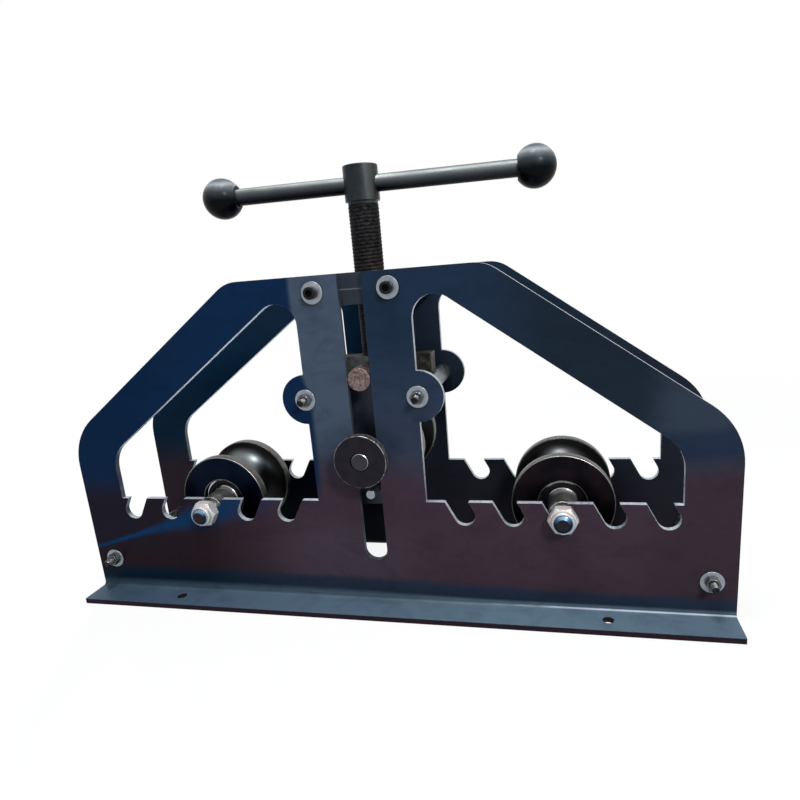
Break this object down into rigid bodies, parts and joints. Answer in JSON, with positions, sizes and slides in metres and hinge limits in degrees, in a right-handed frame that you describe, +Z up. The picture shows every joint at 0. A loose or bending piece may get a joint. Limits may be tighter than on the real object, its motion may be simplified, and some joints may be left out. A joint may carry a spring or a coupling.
{
  "type": "ring roller",
  "caption": "Hand-operated bench roller that bends tube and bar into rings, with grooved rollers between slotted side plates and a lead screw turned by a sliding bar.",
  "frame": {"origin": "on the bench, half way between the side plates and half way along them: the centre of the foot holes", "axes": "+X along the side plates, to the right seen from the front plate; +Y from the front plate to the rear plate; +Z up, along the lead screw"},
  "size_m": [0.575, 0.1845, 0.3745],
  "materials": {
    "plate_paint": "gloss blue-grey paint on laser-cut plate",
    "block_paint": "gloss blue-grey paint",
    "zinc_plate": "zinc plated",
    "nut_zinc": "bright zinc plated with a faint tint",
    "black_oxide": "black oxide",
    "screw_steel": "oiled turned steel, worn dark thread",
    "bar_steel": "dark drawn bar",
    "ball_plastic": "polished black moulding",
    "bare_steel": "bare rolled steel, dulled",
    "pin_steel": "turned steel with surface rust",
    "dark_steel": "dark rolled steel",
    "bush_steel": "turned steel",
    "collar_steel": "dark steel with a worn bright rim",
    "bright_steel": "ground bright steel",
    "blued_steel": "blued turned steel, rims worn bright",
    "bearing_steel": "ground bearing steel with dark shields",
    "spacer_steel": "zinc plated tube"
  },
  "bodies": {
    "frame": {"front_side_plate": "plate_paint", "rear_side_plate": "plate_paint", "left_corner_spacer_tube": "zinc_plate", "right_corner_spacer_tube": "zinc_plate", "left_ear_spacer_tube": "zinc_plate", "right_ear_spacer_tube": "zinc_plate", "tie_studs": "zinc_plate", "tie_washers": "zinc_plate", "tie_nuts": "zinc_plate", "nut_block": "block_paint", "block_screws": "black_oxide", "block_washers": "zinc_plate"},
    "carriage": {"crosshead": "bare_steel", "front_guide_pin": "pin_steel", "rear_guide_pin": "pin_steel", "front_link": "dark_steel", "rear_link": "dark_steel", "front_slot_bush": "bush_steel", "rear_slot_bush": "bush_steel", "front_guide_stud": "zinc_plate", "rear_guide_stud": "zinc_plate"},
    "screw": {"lead_screw": "screw_steel"},
    "tommy_bar": {"tommy_bar": "bar_steel", "left_knob": "ball_plastic", "right_knob": "ball_plastic"},
    "centre_roller": {"centre_shaft": "bright_steel", "centre_roller": "blued_steel", "front_collar": "collar_steel", "rear_collar": "collar_steel"},
    "left_axle": {"left_axle": "bright_steel", "left_lock_nut": "nut_zinc", "left_axle_spacers": "spacer_steel"},
    "right_axle": {"right_axle": "bright_steel", "right_lock_nut": "nut_zinc", "right_axle_spacers": "spacer_steel"},
    "left_roller": {"left_roller": "blued_steel", "left_bearings": "bearing_steel"},
    "right_roller": {"right_roller": "blued_steel", "right_bearings": "bearing_steel"}
  },
  "joints": [
    {"name": "carriage_lift", "type": "slide", "parent": "frame", "child": "carriage", "axis": [0, 0, 1], "range_m": [-0.0032, 0.032]},
    {"name": "screw_turn", "type": "hinge", "parent": "carriage", "child": "screw", "pos_m": [0, 0, 0.3], "axis": [0, 0, 1], "range_deg": [-386, 3842]},
    {"name": "tommy_slide", "type": "slide", "parent": "screw", "child": "tommy_bar", "axis": [0.9969, 0.0785, 0], "range_m": [-0.1139, 0.0949]},
    {"name": "centre_spin", "type": "hinge", "parent": "carriage", "child": "centre_roller", "pos_m": [0, 0, 0.138], "axis": [0, 1, 0], "continuous": true},
    {"name": "left_axle_lift", "type": "slide", "parent": "frame", "child": "left_axle", "axis": [0.4695, 0, 0.8829], "range_m": [0, 0.024]},
    {"name": "left_roller_spin", "type": "hinge", "parent": "left_axle", "child": "left_roller", "pos_m": [-0.1584, 0, 0.08525], "axis": [0, 1, 0], "continuous": true},
    {"name": "right_axle_lift", "type": "slide", "parent": "frame", "child": "right_axle", "axis": [-0.4695, 0, 0.8829], "range_m": [0, 0.024]},
    {"name": "right_roller_spin", "type": "hinge", "parent": "right_axle", "child": "right_roller", "pos_m": [0.1584, 0, 0.08525], "axis": [0, 1, 0], "continuous": true}
  ],
  "couplings": [
    {"joint": "screw_turn", "follows": "carriage_lift", "rad_per_m": 2094.4}
  ]
}
